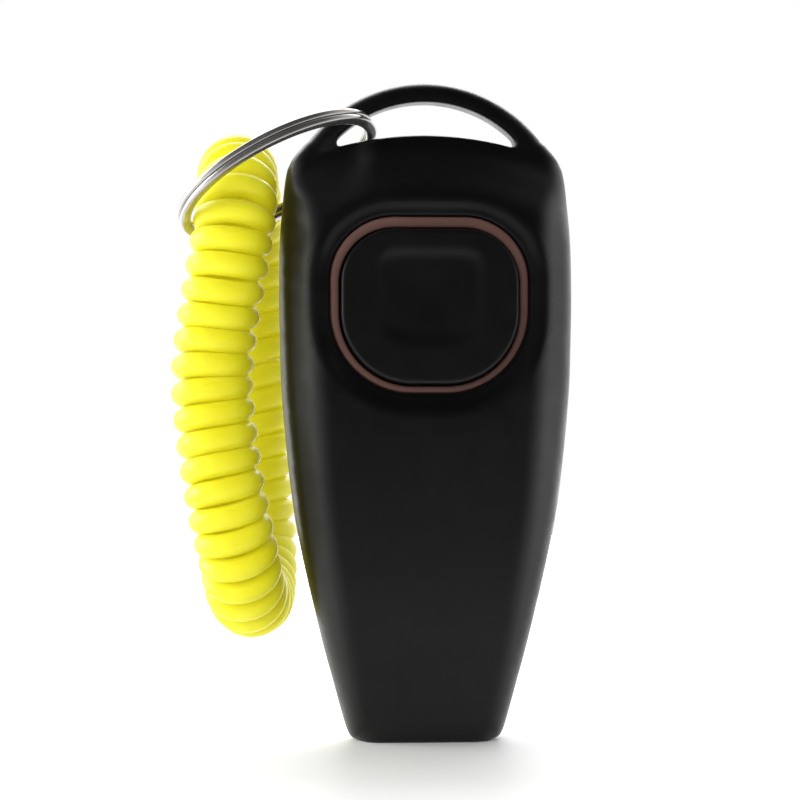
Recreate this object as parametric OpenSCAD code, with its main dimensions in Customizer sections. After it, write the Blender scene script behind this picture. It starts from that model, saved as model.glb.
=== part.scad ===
// Button clicker and whistle for dog training, on a split ring with a coiled wrist strap.
// The body stands on its mouthpiece: X is its width, Y runs from front to back, Z is up.

/* [Body] */
// Height of the body, from the mouthpiece's end to the top of the arch
body_h = 75; // [74.5:0.5:75.5]
// Greatest width of the body
body_w = 33.4; // [33:0.2:34]
// Greatest thickness of the body, front to back
body_t = 18; // [17.6:0.2:18.4]
// Flat cut along each long edge of the case
edge_cut = 4.5; // [3.5:0.5:5]
// Thickness of the case's wall
wall_t = 1.8; // [1.6:0.1:2]

/* [Arch and lanyard slot] */
// Outer radius of the arch over the slot
arch_r = 16.6; // [16.4:0.1:16.8]
// Height of the arch's bar, from the slot to the top
arch_bar = 2.3; // [2:0.1:2.5]
// Thickness of the arch's bar, front to back
arch_t = 4.2; // [4:0.1:4.3]
// Radius of the slot's lower edge
slot_floor_r = 36.8; // [36:0.2:38]
// Height of the slot's lower edge at its middle
slot_floor_z = 69; // [68.8:0.1:69.1]

/* [Button] */
// Width of the button
button_w = 19.8; // [19.4:0.2:20.2]
// Height of the button
button_h = 17.3; // [17:0.1:17.6]
// Height of the button's middle above the mouthpiece's end
button_z = 49.2; // [49:0.1:49.4]
// Radius of the button's upper corners
button_r_top = 6; // [5:0.5:6.5]
// Radius of the button's lower corners
button_r_low = 8; // [7:0.5:8.5]
// Space between the button and the wall of its well
well_gap = 1.2; // [1:0.1:1.3]
// Height of the well's middle above the mouthpiece's end
well_z = 49.4; // [49.3:0.1:49.5]
// Radius of the dished recess round the well
dish_r = 13.2; // [13:0.1:13.4]
// Depth of the dished recess at the well's edge
dish_depth = 1.3; // [1:0.1:1.5]

/* [Click plate] */
// Thickness of the steel click plate
plate_t = 0.4; // [0.3:0.05:0.4]
// Width of the click plate
plate_w = 15; // [13:0.5:16]
// Height of the line that the plate rocks about
plate_pivot_z = 41.2; // [41:0.1:41.4]

/* [Whistle] */
// Width of the whistle's windway
windway_w = 13; // [12:0.5:13]
// Height of the windway, front to back
windway_t = 1.4; // [1.2:0.1:1.5]
// Length of the windway
windway_l = 13; // [12.5:0.5:13.5]

/* [Split ring] */
// Outer radius of the split ring
ring_r = 12.5; // [12.4:0.1:12.6]
// Thickness of the ring's wire, measured towards its middle
ring_wire = 1.3; // [1.2:0.1:1.4]
// Thickness of one turn of the ring, measured along its axis
ring_turn = 0.75; // [0.65:0.05:0.75]
// How far the ring's back hangs below its front, in degrees
ring_tilt = 15.1; // [14.6:0.5:15.6]
// How far the ring's slot side stands above its other side, in degrees
ring_roll = 27.4; // [27:0.1:27.8]

/* [Wrist coil] */
// Outer diameter of the coil's turns
coil_d = 9.4; // [9.2:0.1:9.4]
// Diameter of the coiled cord itself
cord_d = 2.8; // [2.6:0.1:2.9]
// How far round its turn the sleeve reaches that joins the cord's two ends, in degrees
sleeve_arc = 130; // [90:10:150]

/* [Hidden] */
$fn = 64;
eps = 0.01;
big = 60;

// Half-width of the body at each height, up to the shoulder
side_stations = [[0, 7.7], [0.25, 8.3], [0.8, 8.75], [2.3, 9.3], [7, 10.6], [11.8, 11.9], [21, 14.05],
    [28.2, 15.3], [38.8, 16.35], [46, 16.62], [51.4, 16.7], [57, 16.6], [62, 16.2], [64.6, 15.85],
    [65.6, 15.5], [66.6, 14.95], [68, 13.75]];
// Depth of the case in front of and behind the parting plane, at each height
front_stations = [[0, 3.7], [0.5, 4], [3, 4.35], [10, 5.15], [20, 6.6], [30, 8], [37, 8.75], [43, 9],
    [60, 9], [70, 9]];
rear_stations = [[0, 4.4], [0.5, 4.7], [3, 5], [10, 5.7], [20, 6.8], [30, 8], [37, 8.75], [43, 9],
    [60, 9], [70, 9]];
// The case thins towards the slot: distance below the slot's edge, and half-thickness there
dome_stations = [[0, 0.7], [0.3, 1.45], [1, 2.3], [2.4, 3.6], [4.5, 5.3], [7, 7.2], [9.5, 8.5], [12, 9.1]];

k_w = body_w / 33.4;
k_t = body_t / 18;
arch_z = body_h - arch_r;
slot_axis_z = slot_floor_z - slot_floor_r;
arch_in_r = arch_r - arch_bar;
mouth_y = [-2.2, 1.4];
windway_y = mouth_y[1] + windway_t;
chamber_w = 18;
chamber_y = [-3.6, 3];
chamber_z = [windway_l, 32];
plug_t = 1.6;
click_z0 = chamber_z[1] + plug_t;
click_top_r = 27;
click_y = 6.4;
click_half_w = 12.2;
screw_spots = [[-11.4, 35.6], [11.4, 35.6], [0, 62.8]];
screw_r = 1;
post_r = 2.9;
screw_head_r = 2;
screw_head_t = 1.2;
screw_seat_y = 4.6;
screw_tip_y = -4.8;
bezel_y = [-7.3, -5.5];
flange_y = [-5.2, -4.2];
button_face_y = -8.9;
skirt_t = 1.4;
flange_w = 1.1;
stem_r = 1.5;
plate_y = 0.3;
plate_top_z = 57.9;
anchor_w = 16;
anchor_z = [38.6, 42.5];
anchor_y = [-1.6, click_y];
anchor_gap_y = [-0.15, 1.15];
anchor_screw_x = 6.3;
anchor_screw_z = 40.5;
anchor_screw_r = 0.8;
ring_centre = [-16.88, -0.25, 64.4];
coil_sides = 12;
coil_rings = 78;
sleeve_r = 1.7;

// Middle line of the wrist coil's loop, from the middle of its near limb upwards and round
coil_route = [[-24.3, -1.6, 41], [-23.75, -1.6, 47], [-22.6, -1.9, 54], [-21.65, -0.9, 60],
    [-21.5, 3.2, 63.9], [-21.4, 9.2, 65.3], [-21.1, 14.5, 63.9], [-20.4, 17.9, 59.9], [-19.8, 18.7, 54],
    [-19.6, 18.6, 47], [-19.5, 18.6, 40], [-19.5, 18.6, 33], [-19.3, 18.4, 26.5], [-19, 17.2, 20.9],
    [-19.1, 13.6, 17.1], [-19.6, 8.5, 15.6], [-20.5, 3.4, 17], [-21.3, -0.2, 20.9],
    [-22.6, -1.6, 27], [-23.7, -1.6, 34]];
sleeve_spot = [-19.55, 18.6, 43];

// ---- Curves -------------------------------------------------------------------------------------

// A point on the smooth curve between b and c, with a before them and d after
function between(a, b, c, d, t) =
    0.5 * ((2 * b) + (c - a) * t + (2 * a - 5 * b + 4 * c - d) * t * t
        + (3 * b - a - 3 * c + d) * t * t * t);

// A smooth open curve through a list of points, with a number of steps between each two
function smooth(p, steps) = let (n = len(p) - 1)
    [for (i = [0 : n - 1], s = [0 : steps - 1])
        between(p[max(i - 1, 0)], p[i], p[i + 1], p[min(i + 2, n)], s / steps), p[n]];

// A point at a share of the way round a closed list of points
function round_route(p, share) = let (n = len(p), f = share * n, i = floor(f))
    between(p[(i + n - 1) % n], p[i % n], p[(i + 1) % n], p[(i + 2) % n], f - i);

// Points of an arc about c, of radius r, from angle a to angle b
function arc(c, r, a, b, steps) =
    [for (i = [0 : steps]) let (t = a + (b - a) * i / steps) c + r * [cos(t), sin(t)]];

// Outline of the button about its middle, grown by g all round
function button_outline(g) = let (w = button_w / 2, h = button_h / 2, t = button_r_top, l = button_r_low)
    concat(arc([w - t, h - t], t + g, 0, 90, 8), arc([t - w, h - t], t + g, 90, 180, 8),
        arc([l - w, l - h], l + g, 180, 270, 10), arc([w - l, l - h], l + g, 270, 360, 10));

side_curve = smooth(side_stations, 3);
front_curve = smooth(front_stations, 2);
rear_curve = smooth(rear_stations, 2);
levels = [for (s = side_curve) s[0]];

function half_w(z) = k_w * lookup(z, side_curve);
function front_d(z) = k_t * lookup(z, front_curve);
function rear_d(z) = k_t * lookup(z, rear_curve);

// The long edges' cut at each height, less where the case is thin
function cut_at(z) = edge_cut * front_d(z) / (body_t / 2);

// ---- Building blocks ----------------------------------------------------------------------------

// Turns a flat XZ outline into a slab from y0 to y1
module slab(y0, y1) {
    translate([0, y1, 0]) rotate([90, 0, 0]) linear_extrude(y1 - y0) children();
}

// A round bar along Y at (x, z)
module bar_y(x, z, r, y0, y1) {
    translate([x, y1, z]) rotate([90, 0, 0]) cylinder(r = r, h = y1 - y0);
}

// A box given by its lowest and highest corners
module box(low, high) {
    translate(low) cube(high - low);
}

// Front view of the case, shrunk by d
module case_outline(d) {
    steps = 18;
    start = 34;
    right = [for (z = levels) [half_w(z) - d, max(z, d)]];
    top = arc([0, arch_z], arch_r - d, start, 180 - start, steps);
    left = [for (i = [len(levels) - 1 : -1 : 0]) [d - half_w(levels[i]), max(levels[i], d)]];
    polygon(concat(right, top, left));
}

// Side view of the case as [y, z]
module side_outline() {
    polygon(concat([for (z = levels) [-front_d(z), z]], [[-front_d(body_h), body_h]],
        [[rear_d(body_h), body_h]], [for (i = [len(levels) - 1 : -1 : 0]) [rear_d(levels[i]), levels[i]]]));
}

// The case seen along one of its diagonals, which cuts the long edges; s is 1 or -1
module diagonal_outline(s) {
    half = sqrt(0.5);
    front = [for (z = concat(levels, [body_h])) [-half * (half_w(z) + front_d(z) - cut_at(z)), z]];
    rear = [for (z = concat(levels, [body_h])) [half * (half_w(z) + rear_d(z) - cut_at(z)), z]];
    n = len(rear) - 1;
    mirror([s < 0 ? 1 : 0, 0]) polygon(concat(front, [for (i = [n : -1 : 0]) rear[i]]));
}

// A prism of a [y, z] outline along X
module across(half_l) {
    rotate([90, 0, 90]) translate([0, 0, -half_l]) linear_extrude(2 * half_l) children();
}

// The dome that thins the case towards the slot, as a turned solid about an axis along Y
module slot_dome() {
    edge = [for (s = dome_stations) [slot_floor_r - s[0], s[1]]];
    n = len(edge) - 1;
    translate([0, 0, slot_axis_z]) rotate([90, 0, 0]) rotate_extrude($fn = 96)
        polygon(concat([[0, -body_t / 2 - 0.2]], [for (i = [n : -1 : 0]) [edge[i][0], -edge[i][1]]],
            edge, [[0, body_t / 2 + 0.2]]));
}

// The bar of the arch over the slot
module arch() {
    r = 1.1;
    translate([0, 0, arch_z]) rotate([90, 0, 0]) rotate([0, 0, 24]) rotate_extrude(angle = 132, $fn = 96)
        translate([arch_in_r, -arch_t / 2]) {
            translate([r, 0]) square([arch_bar - 2 * r, arch_t]);
            translate([0, r]) square([arch_bar, arch_t - 2 * r]);
            for (x = [r, arch_bar - r], y = [r, arch_t - r]) translate([x, y]) circle(r, $fn = 24);
        }
}

// The whole case as one solid block
module case_block() {
    difference() {
        intersection() {
            slab(-body_t / 2, body_t / 2) case_outline(0);
            across(body_w) side_outline();
            rotate([0, 0, -45]) across(body_w) diagonal_outline(1);
            rotate([0, 0, 45]) across(body_w) diagonal_outline(-1);
            slot_dome();
        }
        box([-big, -big, body_h], [big, big, body_h + big]);
    }
    arch();
    for (s = [-1, 1]) bar_y(s * 11.5, 67.4, 0.9, -1.1, 1.1);
}

// The room behind the button, in which the click plate moves
module click_room(y0, y1) {
    intersection() {
        slab(y0, y1) case_outline(wall_t + 0.4);
        box([-click_half_w, y0, click_z0], [click_half_w, y1, body_h]);
        translate([0, y1, slot_axis_z]) rotate([90, 0, 0]) cylinder(r = click_top_r, h = y1 - y0, $fn = 96);
    }
}

// Everything hollow in the case: whistle, click room, flange room and the passages between them,
// with the two lower screw posts left standing
module case_hollows() {
    box([-windway_w / 2, mouth_y[0], -1], [windway_w / 2, windway_y, windway_l + eps]);
    difference() {
        union() {
            box([-chamber_w / 2, chamber_y[0], chamber_z[0]], [chamber_w / 2, chamber_y[1], click_z0 + eps]);
            click_room(-click_y, click_y);
            translate([0, 0, button_z]) slab(bezel_y[1] - 0.2, eps) polygon(button_outline(flange_w + 0.5));
        }
        for (p = [screw_spots[0], screw_spots[1]]) bar_y(p[0], p[1], post_r, -body_t, body_t);
        well_collar();
    }
}

// The wall of the well, which stands inside the front shell
module well_collar() {
    translate([0, 0, well_z]) slab(-body_t, bezel_y[1]) polygon(button_outline(well_gap + 1));
}

// The well for the button
module well() {
    translate([0, 0, well_z]) slab(-body_t, bezel_y[1] + eps) polygon(button_outline(well_gap));
}

// The shallow cone that is cut round the well
module dish() {
    translate([0, -body_t / 2 + dish_depth, well_z]) rotate([90, 0, 0])
        cylinder(r1 = dish_r - 2.6, r2 = dish_r + 0.02, h = dish_depth + eps, $fn = 96);
}

// The sound window behind the whistle, with its slanted blade
module whistle_window() {
    z = windway_l;
    across(windway_w / 2)
        polygon([[0.4, z], [body_t, z], [body_t, z + 9], [5.9, z + 5], [chamber_y[1] - 0.2, z + 3],
            [0.4, z + 3]]);
}

// ---- Sub-parts ----------------------------------------------------------------------------------

module front_shell() color([0.02, 0.02, 0.022]) {
    difference() {
        case_block();
        box([-big, 0, -1], [big, big, big + body_h]);
        case_hollows();
        well();
        dish();
        for (p = screw_spots) bar_y(p[0], p[1], screw_r, screw_tip_y - 0.4, 1);
    }
}

module rear_shell() color([0.02, 0.02, 0.022]) {
    difference() {
        case_block();
        box([-big, -big, -1], [big, 0, big + body_h]);
        case_hollows();
        whistle_window();
        for (p = screw_spots) {
            bar_y(p[0], p[1], screw_r + 0.1, -1, body_t);
            bar_y(p[0], p[1], screw_head_r + 0.3, screw_seat_y, body_t);
        }
        for (s = [-1, 1]) bar_y(s * anchor_screw_x, anchor_screw_z, anchor_screw_r, click_y - 1, click_y + 1.2);
    }
}

module case_screws() color([0.5, 0.5, 0.52]) {
    for (p = screw_spots) {
        bar_y(p[0], p[1], screw_r, screw_tip_y, screw_seat_y);
        difference() {
            bar_y(p[0], p[1], screw_head_r, screw_seat_y, screw_seat_y + screw_head_t);
            translate([p[0], screw_seat_y + screw_head_t / 2, p[1]])
                for (a = [0, 90]) rotate([0, a, 0]) box([-1.2, 0, -0.25], [1.2, screw_head_t, 0.25]);
        }
    }
}

module button_bezel() color([0.33, 0.17, 0.13]) {
    slab(bezel_y[0], bezel_y[1]) difference() {
        translate([0, well_z]) polygon(button_outline(well_gap));
        translate([0, button_z]) polygon(button_outline(0.2));
    }
}

module button_cap() color([0.03, 0.03, 0.03]) {
    hollow_y = button_face_y + 1.6;
    tip_y = plate_y - 0.05;
    translate([0, 0, button_z]) {
        difference() {
            slab(button_face_y, flange_y[1]) polygon(button_outline(0));
            slab(hollow_y, flange_y[1] + 1) polygon(button_outline(-skirt_t));
            thumb_dish();
        }
        difference() {
            slab(flange_y[0], flange_y[1]) polygon(button_outline(flange_w));
            slab(flange_y[0] - 1, flange_y[1] + 1) polygon(button_outline(-skirt_t));
        }
        bar_y(0, 0, stem_r, hollow_y - eps, tip_y - stem_r);
        translate([0, tip_y - stem_r, 0]) rotate([90, 0, 0]) sphere(stem_r);
    }
}

// The shallow hollow for the thumb
module thumb_dish() {
    dish = 0.7;
    half = 6.2;
    r = (half * half + dish * dish) / (2 * dish);
    translate([0, button_face_y + dish - r, 1.2]) rotate([90, 0, 0]) sphere(r, $fn = 96);
}

module click_plate() color([0.62, 0.63, 0.65]) {
    half = plate_w / 2;
    tail = 4.2;
    tail_z = plate_pivot_z - 1.3;
    neck_z = anchor_z[1] + 0.8;
    slab(plate_y, plate_y + plate_t) polygon([[-tail, tail_z], [tail, tail_z], [tail, neck_z],
        [half, neck_z + 2.5], [half, plate_top_z - 2], [half - 2, plate_top_z], [2 - half, plate_top_z],
        [-half, plate_top_z - 2], [-half, neck_z + 2.5], [-tail, neck_z]]);
    dimple();
}

// The raised dimple that snaps through and makes the click
module dimple() {
    rise = 0.5;
    half = 3.6;
    r = (half * half + rise * rise) / (2 * rise);
    intersection() {
        translate([0, plate_y + plate_t + rise - r, 54.2]) rotate([90, 0, 0]) sphere(r, $fn = 96);
        box([-big, plate_y + plate_t / 2, 0], [big, big, body_h]);
    }
}

module plate_anchor() color([0.75, 0.75, 0.72]) {
    difference() {
        box([-anchor_w / 2, anchor_y[0], anchor_z[0]], [anchor_w / 2, anchor_y[1], anchor_z[1]]);
        box([-4.6, anchor_gap_y[0], anchor_z[0] + 0.9], [4.6, anchor_gap_y[1], anchor_z[1] + 1]);
        for (s = [-1, 1]) bar_y(s * anchor_screw_x, anchor_screw_z, anchor_screw_r, -5, click_y + 1);
    }
}

module anchor_screws() color([0.5, 0.5, 0.52]) {
    for (s = [-1, 1]) {
        bar_y(s * anchor_screw_x, anchor_screw_z, anchor_screw_r, anchor_y[0], click_y + 1.2);
        bar_y(s * anchor_screw_x, anchor_screw_z, 1.4, anchor_y[0] - 0.9, anchor_y[0]);
    }
}

module whistle_block() color([0.03, 0.03, 0.03]) {
    difference() {
        box([-windway_w / 2, mouth_y[0], 0], [windway_w / 2, mouth_y[1], windway_l]);
        box([-windway_w / 2 + 1.6, mouth_y[0] - 1, 3], [windway_w / 2 - 1.6, mouth_y[1] - 1.4, windway_l + 1]);
    }
}

module whistle_plug() color([0.03, 0.03, 0.03]) {
    box([-chamber_w / 2, chamber_y[0], chamber_z[1]], [chamber_w / 2, chamber_y[1], click_z0]);
}

module split_ring() color([0.8, 0.8, 0.8]) {
    groove = 0.15;
    in_r = ring_r - ring_wire;
    translate(ring_centre) rotate([-ring_tilt, -ring_roll, 0]) rotate_extrude($fn = 128)
        translate([in_r, 0]) polygon([[0.3, -ring_turn], [ring_wire - 0.3, -ring_turn],
            [ring_wire, 0.3 - ring_turn], [ring_wire, -groove], [ring_wire - groove, 0],
            [ring_wire, groove], [ring_wire, ring_turn - 0.3], [ring_wire - 0.3, ring_turn],
            [0.3, ring_turn], [0, ring_turn - 0.3], [0, groove], [groove, 0], [0, -groove],
            [0, 0.3 - ring_turn]]);
}

// One closed fat tube along the loop's middle line
module wrist_coil() color([0.95, 0.88, 0.1]) {
    n = coil_rings;
    m = coil_sides;
    middle = [for (i = [0 : n - 1]) round_route(coil_route, i / n)];
    side = [1, 0, 0];
    rings = [for (i = [0 : n - 1]) let (
            along = middle[(i + 1) % n] - middle[(i + n - 1) % n],
            out = cross(side, along) / norm(cross(side, along)),
            over = cross(along, out) / norm(cross(along, out)))
        [for (j = [0 : m - 1]) middle[i] + coil_d / 2 * (cos(360 * j / m) * over + sin(360 * j / m) * out)]];
    polyhedron([for (r = rings, p = r) p],
        [for (i = [0 : n - 1], j = [0 : m - 1]) let (i2 = (i + 1) % n, j2 = (j + 1) % m)
            [i * m + j, i * m + j2, i2 * m + j2, i2 * m + j]]);
}

// The sleeve follows one turn of the cord, at the back of the loop's far limb
module coil_sleeve() color([0.9, 0.83, 0.2]) {
    translate(sleeve_spot) rotate([0, 0, 90 - sleeve_arc / 2]) rotate_extrude(angle = sleeve_arc)
        translate([(coil_d - cord_d) / 2, 0]) circle(sleeve_r, $fn = 24);
}

front_shell();
rear_shell();
case_screws();
button_bezel();
button_cap();
click_plate();
plate_anchor();
anchor_screws();
whistle_block();
whistle_plug();
split_ring();
wrist_coil();
coil_sleeve();
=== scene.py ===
"""Button clicker and whistle for dog training, with its split ring and coiled wrist strap.

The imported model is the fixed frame. The classes below build the shaped pieces round it: the two
case shells, the thumb button and its bezel, the ring and the coiled cord. Shapes are worked out in
millimetres and written to the meshes in metres, in the frame's own axes: X is the body's width,
Y runs from the button side to the back, and Z is up from the mouthpiece.
"""

import logging
import math
from collections.abc import Callable, Sequence
from dataclasses import dataclass, field
from enum import Enum

import bmesh
import bpy
import numpy as np
from mathutils import Matrix, Vector, geometry


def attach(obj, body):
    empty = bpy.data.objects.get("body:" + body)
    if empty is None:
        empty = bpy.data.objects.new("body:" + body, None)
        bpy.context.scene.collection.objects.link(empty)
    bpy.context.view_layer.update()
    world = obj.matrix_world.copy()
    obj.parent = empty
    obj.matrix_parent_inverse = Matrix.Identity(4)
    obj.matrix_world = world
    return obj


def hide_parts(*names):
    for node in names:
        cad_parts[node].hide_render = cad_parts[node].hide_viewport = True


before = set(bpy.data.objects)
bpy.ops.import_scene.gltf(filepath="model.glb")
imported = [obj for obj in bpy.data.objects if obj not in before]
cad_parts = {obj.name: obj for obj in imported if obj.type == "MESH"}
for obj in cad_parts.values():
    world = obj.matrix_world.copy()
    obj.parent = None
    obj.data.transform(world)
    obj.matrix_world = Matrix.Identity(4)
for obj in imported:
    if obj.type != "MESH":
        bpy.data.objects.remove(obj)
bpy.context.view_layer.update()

MM = 0.001
LOG = logging.getLogger("clicker")
Points = np.ndarray
Height = Callable[[Points, Points], Points]


class Body(Enum):
    """The frame's moving bodies."""

    CASE = "case"
    BUTTON = "button"
    PLATE = "plate"
    RING = "ring"
    STRAP = "strap"


# ---------------------------------------------------------------------------------------------
# Flat curves
# ---------------------------------------------------------------------------------------------


def between(a: Points, b: Points, c: Points, d: Points, t: float) -> Points:
    """Find a point on the smooth curve from b to c.

    Args:
        a: The point before b.
        b: The curve's start.
        c: The curve's end.
        d: The point after c.
        t: The share of the way from b to c.

    Returns:
        The point on the curve.
    """
    return 0.5 * (
        2 * b
        + (c - a) * t
        + (2 * a - 5 * b + 4 * c - d) * t * t
        + (3 * b - a - 3 * c + d) * t**3
    )


def smooth_open(points: Sequence[Sequence[float]], steps: int) -> Points:
    """Run a smooth open curve through a list of points.

    Args:
        points: The points.
        steps: How many steps there are between each two.

    Returns:
        The curve's points.
    """
    p = np.asarray(points, float)
    n = len(p) - 1
    rows = [
        between(p[max(i - 1, 0)], p[i], p[i + 1], p[min(i + 2, n)], s / steps)
        for i in range(n)
        for s in range(steps)
    ]
    return np.array([*rows, p[-1]])


def smooth_round(points: Sequence[Sequence[float]], steps: int) -> Points:
    """Run a smooth closed curve through a list of points.

    Args:
        points: The points, without the first one again at the end.
        steps: How many steps there are between each two.

    Returns:
        The curve's points, without the first one again at the end.
    """
    p = np.asarray(points, float)
    n = len(p)
    return np.array(
        [
            between(p[i - 1], p[i], p[(i + 1) % n], p[(i + 2) % n], s / steps)
            for i in range(n)
            for s in range(steps)
        ]
    )


def arc(centre: tuple[float, float], radius: float, start: float, end: float, steps: int) -> Points:
    """Make the points of an arc.

    Args:
        centre: The arc's centre.
        radius: The arc's radius.
        start: Its first angle, in degrees.
        end: Its last angle, in degrees.
        steps: How many steps it has.

    Returns:
        The arc's points.
    """
    t = np.radians(np.linspace(start, end, steps + 1))
    return np.column_stack([centre[0] + radius * np.cos(t), centre[1] + radius * np.sin(t)])


def even_loop(loop: Points, spacing: float) -> Points:
    """Space a closed loop's points evenly.

    Args:
        loop: The loop's points.
        spacing: The distance wanted between neighbours.

    Returns:
        The new points, without the first one again at the end.
    """
    closed = np.vstack([loop, loop[:1]])
    run = np.concatenate([[0], np.cumsum(np.linalg.norm(np.diff(closed, axis=0), axis=1))])
    count = max(8, round(run[-1] / spacing))
    at = np.linspace(0, run[-1], count, endpoint=False)
    return np.column_stack([np.interp(at, run, closed[:, k]) for k in range(closed.shape[1])])


def offset_loop(loop: Points, distance: float) -> Points:
    """Move a counter-clockwise loop's points to its left, into the shape it bounds.

    Args:
        loop: The loop's points.
        distance: How far each one moves.

    Returns:
        The moved points.
    """
    along = np.roll(loop, -1, 0) - np.roll(loop, 1, 0)
    along /= np.linalg.norm(along, axis=1)[:, None]
    return loop + distance * np.column_stack([-along[:, 1], along[:, 0]])


def distance_to(line: Points, x: Points, z: Points, closed: bool = True) -> Points:
    """Measure how far points are from a line of straight stretches.

    Args:
        line: The line's points.
        x: The points' first coordinates.
        z: The points' second coordinates.
        closed: Whether the line's last point joins its first.

    Returns:
        The distances.
    """
    a = line if closed else line[:-1]
    b = np.roll(line, -1, 0) if closed else line[1:]
    span = b - a
    size = np.maximum((span**2).sum(1), 1e-12)
    points = np.column_stack([np.ravel(x), np.ravel(z)])
    best = np.empty(len(points))
    for low in range(0, len(points), 2000):
        rel = points[low : low + 2000, None] - a[None]
        t = np.clip((rel * span).sum(2) / size, 0, 1)
        best[low : low + 2000] = np.sqrt(((rel - t[:, :, None] * span) ** 2).sum(2).min(1))
    return best.reshape(np.shape(x))


def inside(loop: Points, x: Points, z: Points) -> Points:
    """Test whether points lie inside a closed loop.

    Args:
        loop: The loop's points.
        x: The points' first coordinates.
        z: The points' second coordinates.

    Returns:
        True for each point inside.
    """
    a, b = loop, np.roll(loop, -1, 0)
    found = np.zeros(len(x), bool)
    for (ax, az), (bx, bz) in zip(a, b, strict=True):
        if az != bz:
            crosses = (az > z) != (bz > z)
            found ^= crosses & (x < (bx - ax) * (z - az) / (bz - az) + ax)
    return found


def ramp(x: Points, low: float, high: float) -> Points:
    """Rise smoothly from 0 at low to 1 at high.

    Args:
        x: The values.
        low: Where it starts to rise.
        high: Where it stops.

    Returns:
        The share risen at each value.
    """
    t = np.clip((x - low) / (high - low), 0, 1)
    return t * t * (3 - 2 * t)


def soft_min(a: Points, b: Points, blend: float) -> Points:
    """Take the lesser of two values, with a rounded change from one to the other.

    Args:
        a: The one value.
        b: The other value.
        blend: How wide the change is.

    Returns:
        The lesser value.
    """
    h = np.clip(0.5 + 0.5 * (b - a) / blend, 0, 1)
    return b * (1 - h) + a * h - blend * h * (1 - h)


def soft_max(a: Points, b: Points, blend: float) -> Points:
    """Take the greater of two values, with a rounded change from one to the other.

    Args:
        a: The one value.
        b: The other value.
        blend: How wide the change is.

    Returns:
        The greater value.
    """
    return -soft_min(-a, -b, blend)


def edge_round(distance: Points, radius: Points, power: float = 2.0) -> Points:
    """Rise from 0 at an edge to 1 at the rounding's radius, along a quarter of an oval.

    Args:
        distance: The distance from the edge.
        radius: The rounding's radius.
        power: How square the rounding is; 2 is a circle.

    Returns:
        The height, from 0 to 1.
    """
    t = np.clip(distance / radius, 0, 1)
    return (1 - (1 - t) ** power) ** (1 / power)


# ---------------------------------------------------------------------------------------------
# Meshes
# ---------------------------------------------------------------------------------------------


def new_object(name: str, points: Points, faces: Sequence[Sequence[int]]) -> bpy.types.Object:
    """Make an object from points in millimetres.

    Args:
        name: The object's name.
        points: The points.
        faces: The faces, as lists of point numbers.

    Returns:
        The object, linked to the scene.
    """
    mesh = bpy.data.meshes.new(name)
    mesh.from_pydata((np.asarray(points, float) * MM).tolist(), [], [list(f) for f in faces])
    mesh.update()
    made = bpy.data.objects.new(name, mesh)
    bpy.context.scene.collection.objects.link(made)
    return made


def tidy_mesh(obj: bpy.types.Object, crease: float = 35.0, flip: bool = True) -> bpy.types.Object:
    """Merge doubles, turn the faces outwards and shade smooth up to a crease angle.

    Args:
        obj: The object.
        crease: The angle above which an edge stays sharp, in degrees.
        flip: Whether the faces may be turned.

    Returns:
        The same object.
    """
    work = bmesh.new()
    work.from_mesh(obj.data)
    bmesh.ops.remove_doubles(work, verts=work.verts, dist=2e-6)
    bmesh.ops.dissolve_degenerate(work, edges=work.edges, dist=1e-7)
    if flip:
        bmesh.ops.recalc_face_normals(work, faces=work.faces)
    work.to_mesh(obj.data)
    work.free()
    obj.data.shade_smooth()
    obj.data.set_sharp_from_angle(angle=math.radians(crease))
    return obj


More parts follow.
